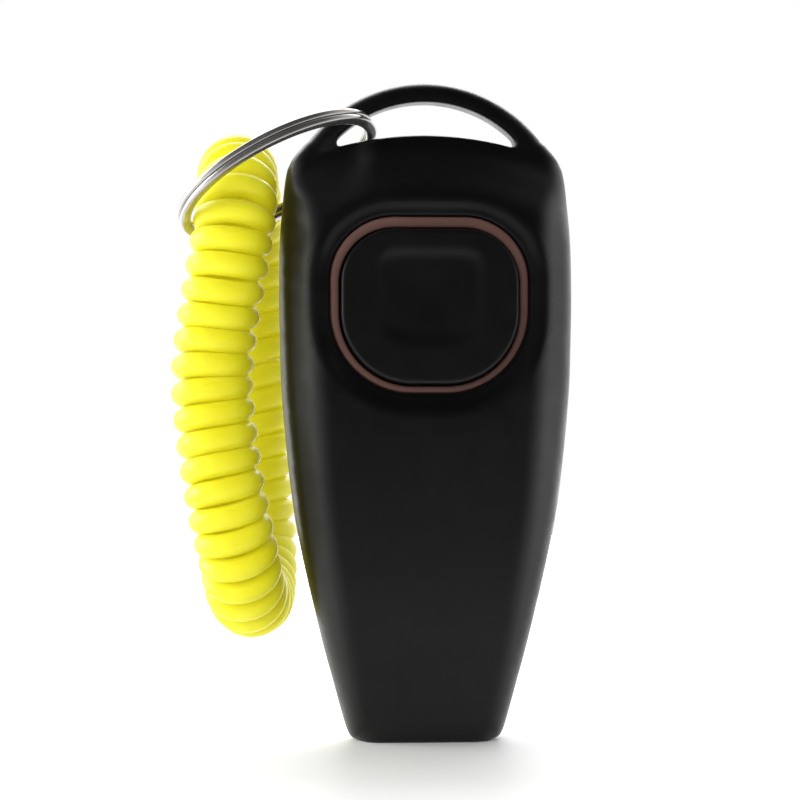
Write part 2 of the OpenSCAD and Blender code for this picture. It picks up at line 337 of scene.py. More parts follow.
@dataclass
class Relief:
    """A solid between two height fields over one flat outline, seen along Y.

    Attributes:
        outer: The outline, counter-clockwise as seen from the front.
        holes: The outlines of its through holes, counter-clockwise.
        front: Gives the front surface's Y.
        back: Gives the back surface's Y.
        spacing: The distance between the mesh's inner points.
        rings: Distances from the edges at which rows of points follow them.
        guides: Further loops that rows of points follow.
    """

    outer: Points
    front: Height
    back: Height
    holes: list[Points] = field(default_factory=list)
    spacing: float = 0.5
    rings: tuple[float, ...] = (0.05, 0.16, 0.34, 0.6)
    guides: list[Points] = field(default_factory=list)

    def flat_points(self) -> tuple[list[Points], Points]:
        """Lay out the points of the flat mesh.

        Returns:
            The boundary loops, and the points inside.
        """
        loops = [self.outer, *self.holes]
        rows = []
        for turn, loop in enumerate(loops):
            sign = 1 if turn == 0 else -1
            for d in self.rings:
                row = offset_loop(loop, sign * d)
                near = np.min([distance_to(edge, row[:, 0], row[:, 1]) for edge in loops], axis=0)
                rows.append(row[(near > 0.93 * d) & self.holds(row[:, 0], row[:, 1])])
        rows += self.guides
        low, high = self.outer.min(0), self.outer.max(0)
        step = self.spacing
        zs = np.arange(low[1] + step / 2, high[1], step * 0.87)
        xs = np.arange(low[0] + step / 2, high[0], step)
        grid = np.array([[x + (step / 2 if k % 2 else 0), z] for k, z in enumerate(zs) for x in xs])
        grid = grid[self.holds(grid[:, 0], grid[:, 1])]
        near = np.min([distance_to(edge, grid[:, 0], grid[:, 1]) for edge in loops], axis=0)
        keep = near > self.rings[-1] + step * 0.5
        for row in self.guides:
            keep &= distance_to(row, grid[:, 0], grid[:, 1]) > step * 0.45
        return loops, np.vstack([*rows, grid[keep]])

    def holds(self, x: Points, z: Points) -> Points:
        """Tell which points lie in the outline and outside its holes.

        Args:
            x: The points' first coordinates.
            z: The points' second coordinates.

        Returns:
            True for each point in the flat shape.
        """
        found = inside(self.outer, x, z)
        for hole in self.holes:
            found &= ~inside(hole, x, z)
        return found

    def build(self, name: str, crease: float = 35.0) -> bpy.types.Object:
        """Build the solid.

        Args:
            name: The object's name.
            crease: The angle above which an edge stays sharp, in degrees.

        Returns:
            The object.
        """
        loops, inner = self.flat_points()
        edges, start = [], 0
        for loop in loops:
            n = len(loop)
            edges += [(start + i, start + (i + 1) % n) for i in range(n)]
            start += n
        flat = np.vstack([*loops, inner])
        made = geometry.delaunay_2d_cdt([Vector(p) for p in flat], edges, [], 0, 1e-5)
        points = np.array([list(p) for p in made[0]])
        faces = np.array([list(f) for f in made[2]])
        middle = points[faces].mean(1)
        faces = faces[self.holds(middle[:, 0], middle[:, 1])]
        x, z = points[:, 0], points[:, 1]
        solid = np.vstack(
            [np.column_stack([x, self.front(x, z), z]), np.column_stack([x, self.back(x, z), z])]
        )
        n = len(points)
        sides = {(a, b) for f in faces for a, b in zip(f, np.roll(f, -1), strict=True)}
        walls = [(b, a, a + n, b + n) for a, b in sides if (b, a) not in sides]
        made_obj = new_object(name, solid, [*faces.tolist(), *(faces[:, ::-1] + n).tolist(), *walls])
        return tidy_mesh(made_obj, crease, flip=False)


def cut_away(obj: bpy.types.Object, cutters: Sequence[bpy.types.Object]) -> bpy.types.Object:
    """Cut closed shapes out of an object, and remove them.

    Args:
        obj: The object.
        cutters: The shapes to cut away.

    Returns:
        The same object.
    """
    for cutter in cutters:
        step = obj.modifiers.new("cut", "BOOLEAN")
        step.operation = "DIFFERENCE"
        step.solver = "EXACT"
        step.object = cutter
        evaluated = obj.evaluated_get(bpy.context.evaluated_depsgraph_get())
        mesh = bpy.data.meshes.new_from_object(evaluated)
        obj.modifiers.clear()
        obj.data = mesh
        bpy.data.objects.remove(cutter)
    obj.data.set_sharp_from_angle(angle=math.radians(30))
    return obj


def block(low: Sequence[float], high: Sequence[float]) -> bpy.types.Object:
    """Make a box that cuts, from its lowest and highest corners in millimetres.

    Args:
        low: The lowest corner.
        high: The highest corner.

    Returns:
        The object.
    """
    low, high = np.asarray(low, float), np.asarray(high, float)
    corners = [[x, y, z] for x in (0, 1) for y in (0, 1) for z in (0, 1)]
    faces = [(0, 1, 3, 2), (4, 6, 7, 5), (0, 4, 5, 1), (2, 3, 7, 6), (0, 2, 6, 4), (1, 5, 7, 3)]
    return tidy_mesh(new_object("cutter", low + np.array(corners) * (high - low), faces))


def prism(outline: Points, low: float, high: float, along_x: bool = False) -> bpy.types.Object:
    """Make a straight-sided shape that cuts.

    Args:
        outline: Its outline, as X and Z, or as Y and Z for one along X.
        low: Where it starts, in millimetres.
        high: Where it ends.
        along_x: Whether it runs along X and not along Y.

    Returns:
        The object.
    """
    n = len(outline)
    ends = []
    for at in (low, high):
        level = np.full(n, at)
        u, v = outline[:, 0], outline[:, 1]
        ends.append(np.column_stack([level, u, v] if along_x else [u, level, v]))
    sides = [(i, (i + 1) % n, n + (i + 1) % n, n + i) for i in range(n)]
    caps = [tuple(range(n)), tuple(range(2 * n - 1, n - 1, -1))]
    return tidy_mesh(new_object("cutter", np.vstack(ends), [*sides, *caps]))


# ---------------------------------------------------------------------------------------------
# Geometry nodes
# ---------------------------------------------------------------------------------------------


class Tree:
    """A geometry node tree that is built node by node."""

    def __init__(self, name: str) -> None:
        """Start a tree with a mesh input and a mesh output.

        Args:
            name: The tree's name.
        """
        self.group = bpy.data.node_groups.new(name, "GeometryNodeTree")
        self.group.interface.new_socket("Geometry", in_out="INPUT", socket_type="NodeSocketGeometry")
        self.group.interface.new_socket("Geometry", in_out="OUTPUT", socket_type="NodeSocketGeometry")
        self.start = self.group.nodes.new("NodeGroupInput")
        self.end = self.group.nodes.new("NodeGroupOutput")

    def value(self, name: str, kind: str, default: float) -> bpy.types.NodeSocket:
        """Add a named input and return its socket inside the tree.

        Args:
            name: The input's name.
            kind: Its socket's type.
            default: Its value if none is given.

        Returns:
            The socket.
        """
        socket = self.group.interface.new_socket(name, in_out="INPUT", socket_type=kind)
        if default is not None:
            socket.default_value = default
        return self.start.outputs[name]

    def add(self, kind: str, settings: dict | None = None, **inputs: object) -> bpy.types.Node:
        """Add a node.

        Args:
            kind: The node's type.
            settings: Properties to set on it.
            inputs: What its inputs take: a socket or a constant, by the input's name.

        Returns:
            The node.
        """
        node = self.group.nodes.new(kind)
        for key, setting in (settings or {}).items():
            setattr(node, key, setting)
        for key, given in inputs.items():
            target = next(
                s for s in node.inputs if s.name.replace(" ", "_").lower() == key and s.enabled
            )
            if isinstance(given, bpy.types.NodeSocket):
                self.group.links.new(given, target)
            else:
                target.default_value = given
        return node

    def close(self, geometry_out: bpy.types.NodeSocket, material: bpy.types.Material) -> None:
        """End the tree in Realize Instances and Set Material.

        Args:
            geometry_out: The socket with the finished geometry.
            material: The material that it gets.
        """
        real = self.add("GeometryNodeRealizeInstances", geometry=geometry_out)
        dressed = self.add("GeometryNodeSetMaterial", geometry=real.outputs[0])
        dressed.inputs["Material"].default_value = material
        self.group.links.new(dressed.outputs[0], self.end.inputs[0])

    def run(self, obj: bpy.types.Object, values: dict[str, object]) -> bpy.types.Object:
        """Run the tree on an object and keep the result as its plain mesh.

        Args:
            obj: The object that the tree starts from.
            values: The inputs' values, by name.

        Returns:
            The same object.
        """
        step = obj.modifiers.new(self.group.name, "NODES")
        step.node_group = self.group
        for item in self.group.interface.items_tree:
            if item.item_type == "SOCKET" and item.in_out == "INPUT" and item.name in values:
                step[item.identifier] = values[item.name]
        evaluated = obj.evaluated_get(bpy.context.evaluated_depsgraph_get())
        mesh = bpy.data.meshes.new_from_object(evaluated)
        obj.modifiers.clear()
        obj.data = mesh
        return obj


def sweep_tree(name: str, material: bpy.types.Material) -> Tree:
    """Build the tree that sweeps a rounded rectangle along a path.

    Its inputs are the rectangle's two sizes and the radius of its corners.

    Args:
        name: The tree's name.
        material: The swept piece's material.

    Returns:
        The tree.
    """
    tree = Tree(name)
    width = tree.value("Width", "NodeSocketFloat", 0.001)
    height = tree.value("Height", "NodeSocketFloat", 0.001)
    corner = tree.value("Corner", "NodeSocketFloat", 0.0002)
    steps = tree.value("Corner steps", "NodeSocketInt", 4)
    upright = tree.value("Upright", "NodeSocketBool", False)
    curve = tree.add("GeometryNodeMeshToCurve", mesh=tree.start.outputs["Geometry"])
    turned = tree.add(
        "GeometryNodeSetCurveNormal", {"mode": "Z_UP"}, curve=curve.outputs[0], selection=upright
    )
    box = tree.add("GeometryNodeCurvePrimitiveQuadrilateral", width=width, height=height)
    profile = tree.add(
        "GeometryNodeFilletCurve", {"mode": "POLY"}, curve=box.outputs[0], radius=corner, count=steps
    )
    swept = tree.add(
        "GeometryNodeCurveToMesh",
        curve=turned.outputs[0],
        profile_curve=profile.outputs[0],
        fill_caps=True,
    )
    smooth = tree.add("GeometryNodeSetShadeSmooth", geometry=swept.outputs[0])
    tree.close(smooth.outputs[0], material)
    return tree


def round_profile(diameter: float, steps: int = 4) -> dict[str, object]:
    """Give the sweep's inputs for a round profile of a diameter in millimetres.

    Args:
        diameter: The profile's diameter, in millimetres.
        steps: How many steps each quarter has.

    Returns:
        The inputs' values, by name.
    """
    return {
        "Width": diameter * MM,
        "Height": diameter * MM,
        "Corner": diameter * 0.4995 * MM,
        "Corner steps": steps,
    }


def path_object(name: str, path: Points) -> bpy.types.Object:
    """Make an open chain of edges along a path given in millimetres.

    Args:
        name: The object's name.
        path: The path's points.

    Returns:
        The object.
    """
    mesh = bpy.data.meshes.new(name)
    links = [(i, i + 1) for i in range(len(path) - 1)]
    mesh.from_pydata((path * MM).tolist(), links, [])
    made = bpy.data.objects.new(name, mesh)
    bpy.context.scene.collection.objects.link(made)
    return made


# ---------------------------------------------------------------------------------------------
# Finishes
# ---------------------------------------------------------------------------------------------


class Shader:
    """A material with a principled surface and helpers for its procedural inputs."""

    def __init__(self, name: str) -> None:
        """Start the material.

        Args:
            name: The material's name.
        """
        self.material = bpy.data.materials.new(f"look_{name}")
        self.material.use_nodes = True
        self.nodes = self.material.node_tree.nodes
        self.links = self.material.node_tree.links
        self.surface = self.nodes["Principled BSDF"]
        self.place = self.nodes.new("ShaderNodeTexCoord").outputs["Object"]

    def set(self, **values: object) -> None:
        """Set constants on the surface's own sockets, named in lower case with underscores.

        Args:
            **values: The constants, by the sockets' names.
        """
        for key, given in values.items():
            socket = next(s for s in self.surface.inputs if s.name.replace(" ", "_").lower() == key)
            socket.default_value = given

    def stretched(self, scale: tuple[float, float, float]) -> bpy.types.NodeSocket:
        """Scale the object's coordinates by a different factor along each axis.

        Args:
            scale: The factors.

        Returns:
            The scaled coordinates.
        """
        node = self.nodes.new("ShaderNodeMapping")
        self.links.new(self.place, node.inputs["Vector"])
        node.inputs["Scale"].default_value = scale
        return node.outputs[0]

    def noise(
        self,
        scale: float,
        detail: float = 3.0,
        place: bpy.types.NodeSocket | None = None,
        roughness: float = 0.5,
    ) -> bpy.types.NodeSocket:
        """Add noise.

        Args:
            scale: How many lumps there are in a metre.
            detail: How many finer layers it has.
            place: The coordinates it reads.
            roughness: How strong the finer layers are.

        Returns:
            Its value, from 0 to 1.
        """
        node = self.nodes.new("ShaderNodeTexNoise")
        self.links.new(place or self.place, node.inputs["Vector"])
        node.inputs["Scale"].default_value = scale
        node.inputs["Detail"].default_value = detail
        node.inputs["Roughness"].default_value = roughness
        return node.outputs["Fac"]

    def spread(self, value: bpy.types.NodeSocket, low: float, high: float) -> bpy.types.NodeSocket:
        """Map the middle of a noise to a range.

        Args:
            value: The noise.
            low: The range's low end.
            high: The range's high end.

        Returns:
            The mapped value.
        """
        node = self.nodes.new("ShaderNodeMapRange")
        self.links.new(value, node.inputs["Value"])
        node.inputs["From Min"].default_value = 0.3
        node.inputs["From Max"].default_value = 0.7
        node.inputs["To Min"].default_value = low
        node.inputs["To Max"].default_value = high
        return node.outputs[0]

    def away(self, near: float, far: float, low: float, high: float) -> bpy.types.NodeSocket:
        """Give a value that grows with the distance from the object's origin.

        Args:
            near: The distance at which it starts to grow, in metres.
            far: The distance at which it stops growing.
            low: The value up to the first distance.
            high: The value from the second one on.

        Returns:
            The value.
        """
        reach = self.nodes.new("ShaderNodeVectorMath")
        reach.operation = "LENGTH"
        self.links.new(self.place, reach.inputs[0])
        node = self.nodes.new("ShaderNodeMapRange")
        self.links.new(reach.outputs["Value"], node.inputs["Value"])
        node.inputs["From Min"].default_value = near
        node.inputs["From Max"].default_value = far
        node.inputs["To Min"].default_value = low
        node.inputs["To Max"].default_value = high
        return node.outputs[0]

    def mix(
        self, value: bpy.types.NodeSocket, stops: Sequence[tuple[float, tuple[float, float, float]]]
    ) -> bpy.types.NodeSocket:
        """Turn a value into a colour.

        Args:
            value: The value.
            stops: Each stop's value and colour.

        Returns:
            The colour.
        """
        node = self.nodes.new("ShaderNodeValToRGB")
        self.links.new(value, node.inputs[0])
        band = node.color_ramp
        while len(band.elements) < len(stops):
            band.elements.new(0.5)
        for element, (at, colour) in zip(band.elements, stops, strict=True):
            element.position = at
            element.color = (*colour, 1)
        return node.outputs[0]

    def bump(
        self,
        height: bpy.types.NodeSocket,
        distance: float,
        strength: float = 1.0,
        under: bpy.types.NodeSocket | None = None,
    ) -> bpy.types.NodeSocket:
        """Raise the surface's shading by a height.

        Args:
            height: The height, from 0 to 1.
            distance: What a height of 1 stands for, in metres.
            strength: How strongly it shows.
            under: A normal that it adds to.

        Returns:
            The new normal.
        """
        node = self.nodes.new("ShaderNodeBump")
        self.links.new(height, node.inputs["Height"])
        node.inputs["Distance"].default_value = distance
        node.inputs["Strength"].default_value = strength
        if under is not None:
            self.links.new(under, node.inputs["Normal"])
        return node.outputs[0]

    def feed(self, name: str, value: bpy.types.NodeSocket) -> None:
        """Link a value to one of the surface's inputs.

        Args:
            name: The input's name.
            value: What feeds it.
        """
        self.links.new(value, self.surface.inputs[name])


@dataclass(frozen=True)
class MouldedPlastic:
    """Moulded plastic with a fine spark-eroded grain, faint flow marks and handling wear.

    Attributes:
        name: The material's name.
        base: Its colour.
        pale: The colour of its lighter clouds.
        roughness: The lowest and highest roughness.
        grain: The depth of its grain, in metres.
    """

    name: str
    base: tuple[float, float, float]
    pale: tuple[float, float, float]
    roughness: tuple[float, float]
    grain: float

    def make(self) -> bpy.types.Material:
        """Make the material.

        Returns:
            The material.
        """
        s = Shader(self.name)
        s.feed("Base Color", s.mix(s.noise(160, 4), [(0.3, self.base), (0.75, self.pale)]))
        s.feed("Roughness", s.spread(s.noise(420, 5), *self.roughness))
        fine = s.bump(s.noise(5200, 2), self.grain, 0.5)
        s.feed("Normal", s.bump(s.noise(60, 2), self.grain * 6, 0.25, fine))
        s.set(specular_ior_level=0.3)
        return s.material


@dataclass(frozen=True)
class SoftCord:
    """Glossy see-through soft plastic cord, with faint streaks along its length, and a painted glow that
    brightens it beyond what the lamps give.

    Attributes:
        name: The material's name.
        base: Its colour.
        deep: Its colour where it is thick.
        painted_glow: How strongly it glows in its deep colour: painted light that brightens it beyond what
            the lamps give.
    """

    name: str
    base: tuple[float, float, float]
    deep: tuple[float, float, float]
    painted_glow: float = 0.16

    def make(self) -> bpy.types.Material:
        """Make the material.

        Returns:
            The material.
        """
        s = Shader(self.name)
        s.feed("Base Color", s.mix(s.noise(260, 3), [(0.3, self.deep), (0.7, self.base)]))
        s.feed("Roughness", s.spread(s.noise(900, 3), 0.32, 0.46))
        s.feed("Normal", s.bump(s.noise(1400, 2), 0.000015, 0.4))
        # The emission below is painted light: it makes the cord glow brighter than the lamps light it.
        s.set(
            subsurface_weight=0.75,
            subsurface_radius=(1.0, 0.9, 0.1),
            subsurface_scale=0.003,
            transmission_weight=0.12,
            ior=1.45,
            specular_ior_level=0.35,
            emission_color=(*self.deep, 1),
            emission_strength=self.painted_glow,
        )
        return s.material


@dataclass(frozen=True)
class PlatedMetal:
    """Plated or rolled metal with fine drawing lines and small stains.

    Attributes:
        name: The material's name.
        base: Its colour.
        dull: The colour of its stains.
        roughness: The lowest and highest roughness.
        lines: How the drawing lines stretch along each axis.
        depth: The lines' depth, in metres.
        metallic: How purely it reflects; a little less than 1 shows the dust and wear on it.
    """

    name: str
    base: tuple[float, float, float]
    dull: tuple[float, float, float]
    roughness: tuple[float, float]
    lines: tuple[float, float, float] = (1, 1, 1)
    depth: float = 0.000004
    metallic: float = 1.0

    def make(self) -> bpy.types.Material:
        """Make the material.

        Returns:
            The material.
        """
        s = Shader(self.name)
        s.feed("Base Color", s.mix(s.noise(300, 4), [(0.35, self.base), (0.8, self.dull)]))
        s.feed("Roughness", s.spread(s.noise(700, 4), *self.roughness))
        s.feed("Normal", s.bump(s.noise(2600, 3, s.stretched(self.lines)), self.depth, 0.6))
        s.set(metallic=self.metallic)
        return s.material


class Finish(Enum):
    """Every finish on the object."""

    CASE = MouldedPlastic(
        "case_plastic", (0.0022, 0.0022, 0.0025), (0.0032, 0.0032, 0.0037),
        (0.33, 0.42), 0.000006,
    )
    BUTTON = MouldedPlastic(
        "button_plastic", (0.0026, 0.0025, 0.0025), (0.0036, 0.0034, 0.0034),
        (0.34, 0.44), 0.000007,
    )
    BEZEL = MouldedPlastic(
        "bezel_plastic", (0.085, 0.044, 0.036), (0.108, 0.054, 0.044),
        (0.35, 0.5), 0.000008,
    )
    INSERT = MouldedPlastic(
        "insert_plastic", (0.012, 0.012, 0.013), (0.017, 0.017, 0.018),
        (0.4, 0.55), 0.000008,
    )
    # The cord and the sleeve glow with painted light, the sleeve more strongly.
    CORD = SoftCord("cord_yellow", (0.74, 0.71, 0.035), (0.7, 0.65, 0.018))
    SLEEVE = SoftCord("sleeve_clear", (0.72, 0.69, 0.26), (0.68, 0.64, 0.18), 0.25)
    RING = PlatedMetal(
        "ring_nickel", (0.4, 0.385, 0.38), (0.32, 0.31, 0.3),
        (0.14, 0.26), metallic=0.86,
    )
    SPRING = PlatedMetal(
        "spring_steel", (0.52, 0.53, 0.55), (0.4, 0.4, 0.42), (0.22, 0.36),
        (8, 1, 0.3),
    )
    SCREW = PlatedMetal("screw_steel", (0.42, 0.42, 0.43), (0.3, 0.3, 0.3), (0.25, 0.4))
    ANCHOR = PlatedMetal("anchor_zinc", (0.55, 0.55, 0.54), (0.42, 0.42, 0.42), (0.4, 0.55))

    def material(self) -> bpy.types.Material:
        """Give the finish's material, made once.

        Returns:
            The material.
        """
        return bpy.data.materials.get(f"look_{self.value.name}") or self.value.make()


def dress(obj: bpy.types.Object, finish: Finish, body: Body, *nodes: str) -> bpy.types.Object:
    """Give a piece its material, its body and the CAD nodes that it stands for.

    Args:
        obj: The piece.
        finish: Its finish.
        body: The body that it moves with.
        nodes: The CAD nodes that it replaces.

    Returns:
        The same piece.
    """
    obj.data.materials.clear()
    obj.data.materials.append(finish.material())
    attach(obj, body.value)
    if nodes:
        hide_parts(*nodes)
    LOG.info("%s: %d faces", obj.name, len(obj.data.polygons))
    return obj


# ---------------------------------------------------------------------------------------------
# The wrist coil
# ---------------------------------------------------------------------------------------------


@dataclass
class WristCoil:
    """The coiled cord, closed into a loop by a sleeve.

    Attributes:
        route: The loop's middle line, from the middle of its near limb upwards and round.
        outer: The coil's outer diameter.
        cord: The cord's diameter.
        pitch: The distance between turns where the loop is straight.
        bend_pitch: The same distance on the loop's two bends.
        bend_radius: The radius of the bends.
        length: The cord's real length, in metres.
        flatness: How much flatter than the rest a turn is on the loop's outer side, from 0 to 1.
        sleeve_share: Where on the loop the sleeve is, as a share of its points.
        sleeve_turn: How much of a turn the sleeve covers.
        steps_per_turn: How many points of the path make one turn.
    """

    route: tuple[tuple[float, float, float], ...] = (
        (-24.3, -1.6, 41), (-23.75, -1.6, 47), (-22.6, -1.9, 54), (-21.65, -0.9, 60),
        (-21.5, 3.2, 63.9), (-21.4, 9.2, 65.3), (-21.1, 14.5, 63.9), (-20.4, 17.9, 59.9),
        (-19.8, 18.7, 54), (-19.6, 18.6, 47), (-19.5, 18.6, 40), (-19.5, 18.6, 33),
        (-19.3, 18.4, 26.5), (-19, 17.2, 20.9), (-19.1, 13.6, 17.1), (-19.6, 8.5, 15.6),
        (-20.5, 3.4, 17), (-21.3, -0.2, 20.9), (-22.6, -1.6, 27), (-23.7, -1.6, 34),
    )
    outer: float = 9.4
    cord: float = 2.8
    pitch: float = 2.95
    bend_pitch: float = 2.45
    bend_radius: float = 10.3
    length: float = 0.98
    flatness: float = 0.72
    sleeve_share: float = 0.4786
    sleeve_turn: float = 0.34
    steps_per_turn: int = 28

    def centre_line(self) -> Points:
        """Work out the cord's centre line, turn by turn round the loop.

        Returns:
            The line's points, in millimetres.
        """
        loop = smooth_round(self.route, 40)
        loop = np.roll(loop, -round(self.sleeve_share * len(loop)), 0)
        along = np.roll(loop, -1, 0) - np.roll(loop, 1, 0)
        steps = np.linalg.norm(np.roll(loop, -1, 0) - loop, axis=1)
        along /= np.linalg.norm(along, axis=1)[:, None]
        bend = np.linalg.norm(np.roll(along, -1, 0) - np.roll(along, 1, 0), axis=1) / (2 * steps)
        width = 41
        kernel = np.hanning(width) / np.hanning(width).sum()
        bend = np.convolve(np.concatenate([bend[-width:], bend, bend[:width]]), kernel, "same")[width:-width]
        pitch = self.pitch + (self.bend_pitch - self.pitch) * np.clip(bend * self.bend_radius, 0, 1.1)
        turns = np.concatenate([[0], np.cumsum(steps / pitch)])
        whole = round(turns[-1])
        turns *= whole / turns[-1]
        closed = np.vstack([loop, loop[:1]])
        tangents = np.vstack([along, along[:1]])
        at = np.linspace(0, whole, whole * self.steps_per_turn + 1)
        phase = 2 * np.pi * at
        slid = at - self.flatness / (2 * np.pi) * np.sin(phase)
        middle = np.column_stack([np.interp(slid, turns, closed[:, k]) for k in range(3)])
        tangent = np.column_stack([np.interp(slid, turns, tangents[:, k]) for k in range(3)])
        side = np.cross([1.0, 0, 0], tangent)
        side /= np.linalg.norm(side, axis=1)[:, None]
        over = np.cross(tangent, side)
        over /= np.linalg.norm(over, axis=1)[:, None]
        radius = (self.outer - self.cord) / 2
        return middle + radius * (np.cos(phase)[:, None] * side + np.sin(phase)[:, None] * over)

    def build(self, ring: bpy.types.Object) -> None:
        """Args:
            ring: The split ring that the coil hangs on; not used.
        """
        line = self.centre_line()
        tree = sweep_tree("cord_sweep", Finish.CORD.material())
        sizes = round_profile(self.cord)
        coil = tree.run(path_object("wrist_coil_cord", line), sizes)
        dress(coil, Finish.CORD, Body.STRAP, "wrist_coil")
        reach = round(self.sleeve_turn * self.steps_per_turn)
        wrap = np.vstack([line[-1 - reach : -1], line[: reach + 1]])
        over = round_profile(self.cord + 0.6)
        sleeve = sweep_tree("sleeve_sweep", Finish.SLEEVE.material())
        cover = sleeve.run(path_object("wrist_coil_sleeve", wrap), over)
        dress(cover, Finish.SLEEVE, Body.STRAP, "coil_sleeve")


# ---------------------------------------------------------------------------------------------
# The split ring
# ---------------------------------------------------------------------------------------------


@dataclass
class SplitRing:
    """The double-turn steel ring through the slot.

    Attributes:
        centre: Its middle.
        tilt: How far its back hangs below its front, in degrees.
        roll: How far its slot side stands above its other side, in degrees.
        radius: Its outer radius.
        wire: The wire's thickness, measured towards the middle.
        turn: One turn's thickness along the ring's axis.
        corner: The radius of the wire's corners.
        join_at: Where the wire passes from one turn to the next, in degrees.
        join_span: How far that passage reaches, in degrees.
    """

    centre: tuple[float, float, float] = (-16.88, -0.25, 64.4)
    tilt: float = 15.1
    roll: float = 27.4
    radius: float = 12.5
    wire: float = 1.3
    turn: float = 0.75
    corner: float = 0.3
    join_at: float = 75.0
    join_span: float = 34.0

    def pose(self) -> Matrix:
        """Give the matrix that puts the flat ring in its place, in metres.

        Returns:
            The matrix.
        """
        turned = Matrix.Rotation(math.radians(-self.roll), 4, "Y") @ Matrix.Rotation(
            math.radians(-self.tilt), 4, "X"
        )
        return Matrix.Translation(Vector(self.centre) * MM) @ turned

    def build(self) -> bpy.types.Object:
        """Build the ring.

        Returns:
            The ring.
        """
        middle = self.radius - self.wire / 2
        angle = np.arange(self.join_at - 360 + 2, self.join_at + 360 - 2, 1.5)
        level = self.turn / 2 * (2 * ramp(angle, self.join_at - self.join_span, self.join_at + 4) - 1)
        t = np.radians(angle)
        line = np.column_stack([middle * np.cos(t), middle * np.sin(t), level])
        tree = sweep_tree("ring_sweep", Finish.RING.material())
        sizes = {
            "Width": self.wire * MM,
            "Height": self.turn * MM,
            "Corner": self.corner * MM,
            "Corner steps": 5,
            "Upright": True,
        }
        ring = tree.run(path_object("split_ring_wire", line), sizes)
        ring.data.transform(self.pose())
        return dress(ring, Finish.RING, Body.RING, "split_ring")


# ---------------------------------------------------------------------------------------------
# The case
# ---------------------------------------------------------------------------------------------


@dataclass
class ButtonShape:
    """The rounded square that the button, its bezel and its well share.

    Attributes:
        width: The button's width.
        height: The button's height.
        top_radius: The radius of its upper corners.
        low_radius: The radius of its lower corners.
        middle: The height of its middle.
        well_middle: The height of the well's middle.
        well_gap: The space between the button and the wall of its well.
    """

    width: float = 19.8
    height: float = 17.3
    top_radius: float = 6.0
    low_radius: float = 8.0
    middle: float = 49.2
    well_middle: float = 49.4
    well_gap: float = 1.2

    def outline(self, grow: float, middle: float, spacing: float = 0.3) -> Points:
        """Make the rounded square, grown all round.

        Args:
            grow: How far it grows.
            middle: The height of its middle.
            spacing: The distance between its points.

        Returns:
            The outline's points.
        """
        w, h, t, low = self.width / 2, self.height / 2, self.top_radius, self.low_radius
        loop = np.vstack(
            [
                arc((w - t, h - t), t + grow, 0, 90, 24),
                arc((t - w, h - t), t + grow, 90, 180, 24),
                arc((low - w, low - h), low + grow, 180, 270, 24),
                arc((w - low, low - h), low + grow, 270, 360, 24),
            ]
        )
        return even_loop(loop + [0, middle], spacing)


